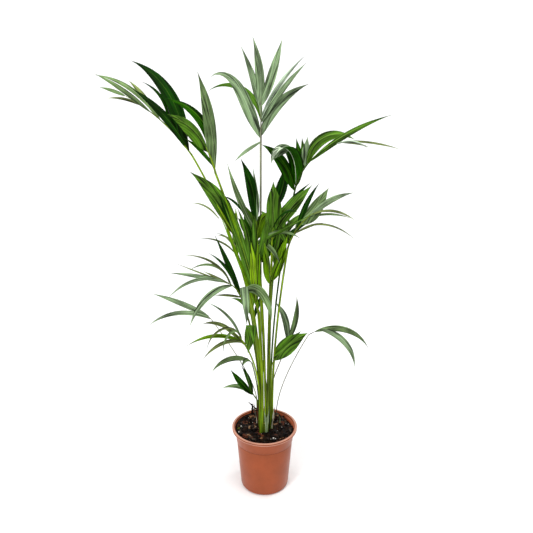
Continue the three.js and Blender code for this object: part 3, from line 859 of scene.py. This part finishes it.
sheath = {
    "sides": 14, "rows": 10, "wall": 0.5, "roughness": 0.7,
    # mm: how deep the foot is set, how ragged the rim is and how high the ribs are that go round it
    "set": 3, "ragged": 3, "tearing": 4, "rib": 0.35, "ribs": 9,
    # how far the rim runs down on both sides to the opening, and how sharply
    "dip": 0.45, "dipCurve": 1.6,
    # the core closes to a blunt point between the stalks
    "core": 0.86, "coreTaper": 0.5, "coreRows": 8,
    "colours": {
        "greenSheath": "#4C6C18", "paleSheath": "#8FA27A", "creamSheath": "#CFC9AC",
        "dryFibre": "#4A2E1E", "darkSheath": "#2A3E12", "deadWood": "#170E0A",
    },
    # shoot, colour, height above the soil, radius at foot and top, half the wrap, facing, lean
    "wraps": [
        ("left", "darkSheath", 96, 8.4, 6.5, 120, 235, 2),
        ("left", "dryFibre", 84, 8.8, 9.4, 60, 262, 3),
        ("left", "creamSheath", 86, 8.8, 10, 38, 190, 8),
        ("back", "darkSheath", 116, 8.4, 6.5, 115, 250, 0),
        ("back", "dryFibre", 78, 8.8, 9, 70, 350, 3),
        ("right", "creamSheath", 84, 6.6, 7, 24, 318, 6),
        ("right", "darkSheath", 64, 6.5, 6.4, 120, 200, 1),
        ("right", "dryFibre", 80, 6.6, 8, 40, 5, 5),
        ("middle", "paleSheath", 109, 6.3, 8, 172, 90, 0),
        ("front", "greenSheath", 100, 7, 7.6, 50, 300, 0),
        ("front", "dryFibre", 46, 7.4, 8.2, 50, 175, 3),
        ("seedling", "dryFibre", 20, 3.4, 2.8, 120, 270, 0),
    ],
    # dead stumps and a fallen stalk: colour, foot, tip, radius at both ends
    "stumps": [
        ("deadWood", (-43, 77, 206), (-42, 77, 247), 3.8, 2.6),
        ("deadWood", (-42, 77, 241), (-49, 76, 250), 2.3, 1.5),
        ("paleSheath", (47.5, 15, 206), (49, 15, 236), 2.4, 1.6),
        ("deadWood", (-14, 12, 262), (-52, 20, 290), 2.4, 1.3),
        ("deadWood", (-20, 4, 268), (-44, 2, 276), 1.7, 1),
        ("dryFibre", (-58, 34, 207), (-30, 48, 222), 1.8, 1.2),
    ],
    # a stump's bow as a share of its length, and how its radius varies
    "bow": 0.06, "knots": (0.85, 1.15), "stumpRows": 6,
}


def addSheath(bm, name, height, atFoot, atTop, wrap, facing, lean, material):
    middle = Vector((*shoots[name]["foot"], plan["soilTop"] - sheath["set"]))
    phase = dice.uniform(0, 9)

    def place(u, t):
        # the rim runs down on both sides to the opening, and is torn a little
        torn = sheath["ragged"] * noise.noise(Vector((u * sheath["tearing"], phase, 0)))
        rise = (height * (1 - sheath["dip"] * abs(u) ** sheath["dipCurve"]) + torn) * t
        angle = math.radians(facing + wrap * u)
        radius = lerp(atFoot, atTop, t) + sheath["rib"] * math.cos(angle * sheath["ribs"])
        leaning = around(math.radians(facing)) * lean * t * t
        return (middle + around(angle) * radius + leaning + up * rise) * mm

    def uvAt(u, t):
        return math.radians(wrap) * u * atFoot * mm, t * height * mm

    grid, faces = placeGrid(bm, sheath["sides"], sheath["rows"], place, uvAt, material)
    for face in thicken(bm, grid, faces, sheath["wall"] * mm):
        face.material_index = material


def addCore(bm, shoot, material):
    top = shootTop(shoot)
    foot = Vector((top.x, top.y, (plan["soilTop"] - plan["buried"]) * mm))
    atFoot, atTop = [r * mm for r in shoot["radii"]]
    rings = []
    for t in shares(sheath["coreRows"]):
        share = sheath["core"] - sheath["coreTaper"] * t ** 3
        rings.append((foot.lerp(top, t), up, lerp(atFoot, atTop, t) * share))
    addStalk(bm, rings, Vector((0, 1, 0)), material)


def addStump(bm, foot, tip, atFoot, atTip, material):
    foot, tip = Vector(foot) * mm, Vector(tip) * mm
    run = tip - foot
    bow = run.orthogonal().normalized() * run.length * sheath["bow"]
    rings = []
    for t in shares(sheath["stumpRows"]):
        radius = lerp(atFoot, atTip, t) * mm * dice.uniform(*sheath["knots"])
        rings.append((foot + run * t + bow * math.sin(math.pi * t), run.normalized(), radius))
    addStalk(bm, rings, bow.normalized(), material)


def makeShoots():
    # leaf sheath: dry or living fibre, matt, and lined lengthwise as the stalks are
    rough = sheath["roughness"]
    materials = [stalkMaterial(name, code, rough) for name, code in sheath["colours"].items()]
    names = list(sheath["colours"])
    bm = startShape()
    for shoot in shoots.values():
        addCore(bm, shoot, names.index("darkSheath"))
    for name, colour, *sizes in sheath["wraps"]:
        addSheath(bm, name, *sizes, names.index(colour))
    for colour, *sizes in sheath["stumps"]:
        addStump(bm, *sizes, names.index(colour))
    finishPiece("shoots", bm, materials, ["shoot_" + name for name in shoots])


makeShoots()


# pot: injection-moulded plastic with a rolled lip, a band below it and drain holes in its floor

pot = {
    "height": 215, "rim": 105, "lipInner": 98, "lipHeight": 9, "lipDepth": 5, "lipGroove": 2.1,
    "wallTop": 94, "wallFoot": 77.5, "wall": 2.5, "band": 40, "bandStep": 1.2, "bandGroove": 0.9,
    "footRounding": 9, "floor": 3, "steps": 128, "drains": 8, "drainRadius": 5, "drainCircle": 52,
    # how far the painted highlight on the lip reaches from its crown and its lower edge, and how far the
    # painted shade reaches round the groove under the band
    "highlightCrown": 1.6, "highlightEdge": 3.4, "shadeReach": 1.8,
    # mm across: pigment clouds, scuffs and mould grain
    "cloud": 60, "scuff": 8, "grain": 0.8, "bump": 0.25, "relief": 0.1,
    "gloss": (0.26, 0.4), "ior": 1.49, "sheen": 0.2, "shades": [(0.3, 0.93), (0.5, 1), (0.72, 1.06)],
    # the pale plastic is painted highlight along the lip, and the dark plastic is painted shade in the
    # groove under the band
    "colours": {"moulded": "#984A28", "paintedHighlight": "#C08A74", "paintedShade": "#74361D"},
}


lipFoot = pot["height"] - pot["lipHeight"]
bandFoot = lipFoot - pot["band"]


def wallRadius(z):
    return lerp(pot["wallFoot"], pot["wallTop"], z / pot["height"])


def insideRadius(z):
    # the pot's inner face, up the wall and then out to the lip
    if z < lipFoot:
        return wallRadius(z) + (pot["bandStep"] if z > bandFoot else 0) - pot["wall"]
    neck = wallRadius(lipFoot) + pot["bandStep"] - pot["wall"]
    return lerp(neck, pot["lipInner"], min(1, (z - lipFoot) / (pot["lipHeight"] - pot["lipDepth"])))


def potProfile():
    # (radius, height, rounding) from the middle of the underside, up the outside and down the inside
    top, lip, band = pot["height"], lipFoot, bandFoot
    rim, inner, wall = pot["rim"], pot["lipInner"], pot["wall"]
    return [
        (0, 0, 0), (wallRadius(0), 0, pot["footRounding"]),
        # the groove under the band, then the band
        (wallRadius(band) - 0.1, band - 0.6, 0.3),
        (wallRadius(band) - pot["bandGroove"], band + 0.3, 0.3),
        (wallRadius(band) + pot["bandStep"], band + 1.6, 0.5),
        (wallRadius(lip) + pot["bandStep"], lip, 1),
        # the lip, with a groove along its outer face and a shallow one along its top
        (rim - 0.5, lip, 1.4), (rim - 0.5, lip + 3.6, 0.5), (rim - pot["lipGroove"], lip + 4.4, 0.4),
        (rim - pot["lipGroove"], lip + 5, 0.4), (rim, lip + 5.8, 0.5), (rim, top - 0.8, 1.3),
        (rim - 3, top - 1.3, 0.5), (inner + 2, top, 0.9), (inner, top - 0.6, 0.8),
        (inner, top - pot["lipDepth"], 0.8), (wallRadius(lip) + pot["bandStep"] - wall, lip, 1),
        (wallRadius(band) - wall, band, 0), (wallRadius(pot["floor"]) - wall, pot["floor"], 2),
        (0, pot["floor"], 0),
    ]


def potMaterial(name, code):
    # moulded polypropylene coloured to look like terracotta: fine matt grain, flow marks and scuffs
    material, tree, shader = startMaterial(name, sum(pot["gloss"]) / 2, pot)
    place = addNode(tree, "ShaderNodeTexCoord", {})
    patterns = {}
    for kind, detail, roughness in (("cloud", 5, 0.65), ("scuff", 4, 0.7), ("grain", 2, 0.5)):
        settings = {"Scale": 1 / (pot[kind] * mm), "Detail": detail, "Roughness": roughness}
        noiseNode = addNode(tree, "ShaderNodeTexNoise", settings, {"Vector": place.outputs["Object"]})
        patterns[kind] = noiseNode.outputs["Fac"]
    # the scuffs change only the gloss
    gloss = addNode(tree, "ShaderNodeMapRange", {"To Min": pot["gloss"][0], "To Max": pot["gloss"][1]},
                    {"Value": patterns["scuff"]})
    tree.links.new(gloss.outputs["Result"], shader.inputs["Roughness"])
    dressShader(tree, shader, code, pot, patterns["cloud"], patterns["grain"])
    return material


def isRing(edge, radius, height):
    places = [(math.hypot(v.co.x, v.co.y) - radius * mm, v.co.z - height * mm) for v in edge.verts]
    return max(abs(away) for place in places for away in place) < 10 * merge


def cutDrains(piece):
    # the drain holes are cut through the floor
    drills = bmesh.new()
    radius, depth = pot["drainRadius"] * mm, 4 * pot["floor"] * mm
    for i in range(pot["drains"]):
        turn = (i + 0.5) * 2 * math.pi / pot["drains"]
        drill = bmesh.ops.create_cone(drills, cap_ends=True, segments=24, radius1=radius,
                                      radius2=radius, depth=depth)
        bmesh.ops.translate(drills, verts=drill["verts"], vec=around(turn) * pot["drainCircle"] * mm)
    cutter = putInScene("drills", meshFrom("drills", drills))
    cut = piece.modifiers.new("drainHoles", "BOOLEAN")
    cut.operation = "DIFFERENCE"
    cut.solver = "EXACT"
    cut.object = cutter
    shaped = piece.evaluated_get(bpy.context.evaluated_depsgraph_get())
    cutMesh = bpy.data.meshes.new_from_object(shaped)
    piece.modifiers.remove(cut)
    piece.data = cutMesh
    bpy.data.objects.remove(cutter)


def makePot():
    bm = startShape()
    profile = potProfile()
    verts = [bm.verts.new((radius * mm, 0, z * mm)) for radius, z, _ in profile]
    edges = [bm.edges.new(pair) for pair in zip(verts, verts[1:])]
    bmesh.ops.spin(bm, geom=verts + edges, cent=(0, 0, 0), axis=(0, 0, 1), dvec=(0, 0, 0),
                   angle=2 * math.pi, steps=pot["steps"], use_merge=True)
    bmesh.ops.remove_doubles(bm, verts=bm.verts, dist=merge)
    for radius, z, rounding in profile:
        if rounding:
            ring = [edge for edge in bm.edges if isRing(edge, radius, z)]
            bmesh.ops.bevel(bm, geom=ring, offset=rounding * mm, segments=4 if rounding > 1 else 2,
                            profile=0.5, affect="EDGES", material=-1)
    bmesh.ops.recalc_face_normals(bm, faces=bm.faces)
    for face in bm.faces:
        face.smooth = True
        middle = face.calc_center_median()
        radius, z = math.hypot(middle.x, middle.y) / mm, middle.z / mm
        # painted highlight: the lip is made pale along its crown and its lower edge, where its rounded
        # edges catch the light; painted shade darkens the groove under the band
        crown = radius > pot["lipInner"] and z > pot["height"] - pot["highlightCrown"]
        lowerEdge = radius > pot["rim"] - 2 and z < lipFoot + pot["highlightEdge"]
        if crown or lowerEdge:
            face.material_index = 1
        # painted shade: the groove under the band gets the darker plastic
        elif radius > wallRadius(bandFoot) - 1 and abs(z - bandFoot) < pot["shadeReach"]:
            face.material_index = 2
    materials = [potMaterial(name + "PotPlastic", code) for name, code in pot["colours"].items()]
    cutDrains(finishPiece("plasticPot", bm, materials, ["pot"]))


makePot()


# soil: damp bark mix with loose chips and a few white perlite grains

soil = {
    "edge": 208.5, "levelRadius": 84, "foot": 3.4, "gap": 0.7, "sides": 96, "rows": 34,
    # how high the lumps are, how far apart, and how much of them is gone at the wall
    "lump": 2.4, "lumpGap": 14, "evened": 0.6,
    # the soil has sunk at one place by the wall: heading, half its spread, depth, inner radius, run-out
    "sunk": (30, 34, 10, 70, 20),
    "crumb": 3, "bump": 0.8, "relief": 0.6, "shades": [(0.32, 0.5), (0.5, 1), (0.7, 1.6)],
    "colour": "#0C0704", "roughness": 0.9, "ior": 1.45, "sheen": 0.08,
}
chips = {
    # how many, longest, shortest, farthest from the middle
    "sizes": {"big": (430, 20, 9, 85), "small": (900, 9, 3, 92)},
    # width and thickness as shares of the length, how far a corner is knocked about, and the tilt
    "width": (0.3, 0.6), "thickness": (0.14, 0.3), "corner": (0.55, 1.15), "tilt": 0.35,
    "lift": 0.25, "margin": 2, "roughness": 0.5,
    # colour and how many parts of the mix it makes up
    "colours": {
        "blackBark": ("#070403", 10), "brownBark": ("#1D110A", 7), "redBark": ("#4A2618", 3),
        "greyBark": ("#3C332B", 1), "tanBark": ("#7A5C40", 1), "mossyBark": ("#4F5018", 0),
    },
    # a mossy spot: place, radius and the share of its chips that are green
    "moss": (-89, -8, 9, 0.6),
}
perlite = {
    # place and radius of the grains that the photograph shows apart, then how many others there are
    "shown": [
        (-76, -2, 3), (-71, -7, 2.2), (-82, -33, 2.4), (-38, -14, 1.8),
        (28, -68, 2.8), (37, -30, 1.8), (20, -72, 1.8), (34, -72, 2),
    ],
    "others": 22, "radius": (0.9, 1.7), "farthest": 88, "margin": 3, "knobs": (0.75, 1.2),
    "colour": "#C9C3B8", "roughness": 0.9,
}


def soilHeight(x, y):
    radius = math.hypot(x, y)
    top, level = plan["soilTop"], soil["levelRadius"]
    edge = max(0, radius - level) / (insideRadius(soil["edge"]) - level)
    # fractal noise of four octaves, each half as wide as the one before
    lumps = noise.fractal(Vector((x, y, 0)) / soil["lumpGap"], 0.6, 2, 4) * soil["lump"]
    heading, spread, depth, start, runOut = soil["sunk"]
    away = (math.degrees(math.atan2(y, x)) - heading + 180) % 360 - 180
    sunk = max(0, 1 - (away / spread) ** 2) * min(1, max(0, radius - start) / runOut) * depth
    return top - (top - soil["edge"]) * edge + lumps * (1 - soil["evened"] * edge) - sunk


def soilMaterial(name, code, roughness):
    # damp bark and compost: broken and dark, with crumbs 1 to 3 mm across
    material, tree, shader = startMaterial(name, roughness, soil)
    place = addNode(tree, "ShaderNodeTexCoord", {})
    crumbs = addNode(tree, "ShaderNodeTexNoise",
                     {"Scale": 1 / (soil["crumb"] * mm), "Detail": 5, "Roughness": 0.7},
                     {"Vector": place.outputs["Object"]}).outputs["Fac"]
    dressShader(tree, shader, code, soil, crumbs, crumbs)
    return material


def makeSoil():
    bm = startShape()
    topRows = soil["rows"] - 3
    edge = insideRadius(soil["edge"]) - soil["gap"]

    def place(u, t):
        row = round(t * soil["rows"])
        outward = around(math.pi * u)
        if row <= topRows:
            radius = edge * row / topRows
            z = soilHeight(*outward.xy * radius)
            radius = min(radius, insideRadius(z) - soil["gap"])
        else:
            z = (bandFoot, soil["foot"], soil["foot"])[row - topRows - 1]
            radius = 0 if row == soil["rows"] else wallRadius(z) - pot["wall"] - soil["gap"]
        return (outward * radius + up * z) * mm

    grid, faces = placeGrid(bm, soil["sides"], soil["rows"], place, lambda u, t: (u, t), 0)
    bmesh.ops.remove_doubles(bm, verts=grid, dist=merge)
    bmesh.ops.recalc_face_normals(bm, faces=bm.faces)
    ground = soilMaterial("barkMixGround", soil["colour"], soil["roughness"])
    finishPiece("barkMix", bm, [ground], ["soil"])


def openGround(farthest, margin):
    # a place on the soil that no shoot stands on
    while True:
        radius = farthest * math.sqrt(dice.random())
        turn = dice.uniform(0, 2 * math.pi)
        x, y = radius * math.cos(turn), radius * math.sin(turn)
        if all(math.dist((x, y), s["foot"]) > s["radii"][0] + margin for s in shoots.values()):
            return x, y


def makeChips():
    bm = startShape()
    names = list(chips["colours"])
    kinds = [i for i, (code, parts) in enumerate(chips["colours"].values()) for k in range(parts)]
    mossX, mossY, mossReach, mossShare = chips["moss"]
    for count, longest, shortest, farthest in chips["sizes"].values():
        for k in range(count):
            x, y = openGround(farthest, chips["margin"])
            length = dice.uniform(shortest, longest)
            size = Vector((length, length * dice.uniform(*chips["width"]),
                           length * dice.uniform(*chips["thickness"])))
            chip = bmesh.ops.create_cube(bm, size=1)["verts"]
            mossy = math.hypot(x - mossX, y - mossY) < mossReach and dice.random() < mossShare
            colour = names.index("mossyBark") if mossy else dice.choice(kinds)
            for face in {face for vert in chip for face in vert.link_faces}:
                face.material_index = colour
            turn = Quaternion((0, 0, 1), dice.uniform(0, 2 * math.pi)) @ Quaternion(
                (dice.uniform(-1, 1), dice.uniform(-1, 1), 0), dice.gauss(0, chips["tilt"]))
            place = Vector((x, y, soilHeight(x, y) + size.z * chips["lift"]))
            for vert in chip:
                # each corner is knocked about, so that no two chips match
                corner = Vector([c * s * dice.uniform(*chips["corner"]) for c, s in zip(vert.co, size)])
                vert.co = (turn @ corner + place) * mm
    materials = [soilMaterial(name, code, chips["roughness"])
                 for name, (code, parts) in chips["colours"].items()]
    finishPiece("barkChips", bm, materials)


def makeGrains():
    # expanded perlite: white, matt, popcorn-like grains 2 to 5 mm across
    bm = startShape()
    spots = list(perlite["shown"])
    for k in range(perlite["others"]):
        x, y = openGround(perlite["farthest"], perlite["margin"])
        spots.append((x, y, dice.uniform(*perlite["radius"])))
    for x, y, radius in spots:
        grain = bmesh.ops.create_icosphere(bm, subdivisions=1, radius=radius * mm)["verts"]
        for vert in grain:
            vert.co *= dice.uniform(*perlite["knobs"])
        place = Vector((x, y, soilHeight(x, y) + radius * 0.6 + 1))
        bmesh.ops.translate(bm, verts=grain, vec=place * mm)
    white = soilMaterial("perliteGrain", perlite["colour"], perlite["roughness"])
    finishPiece("perlite", bm, [white])


makeSoil()
makeChips()
makeGrains()
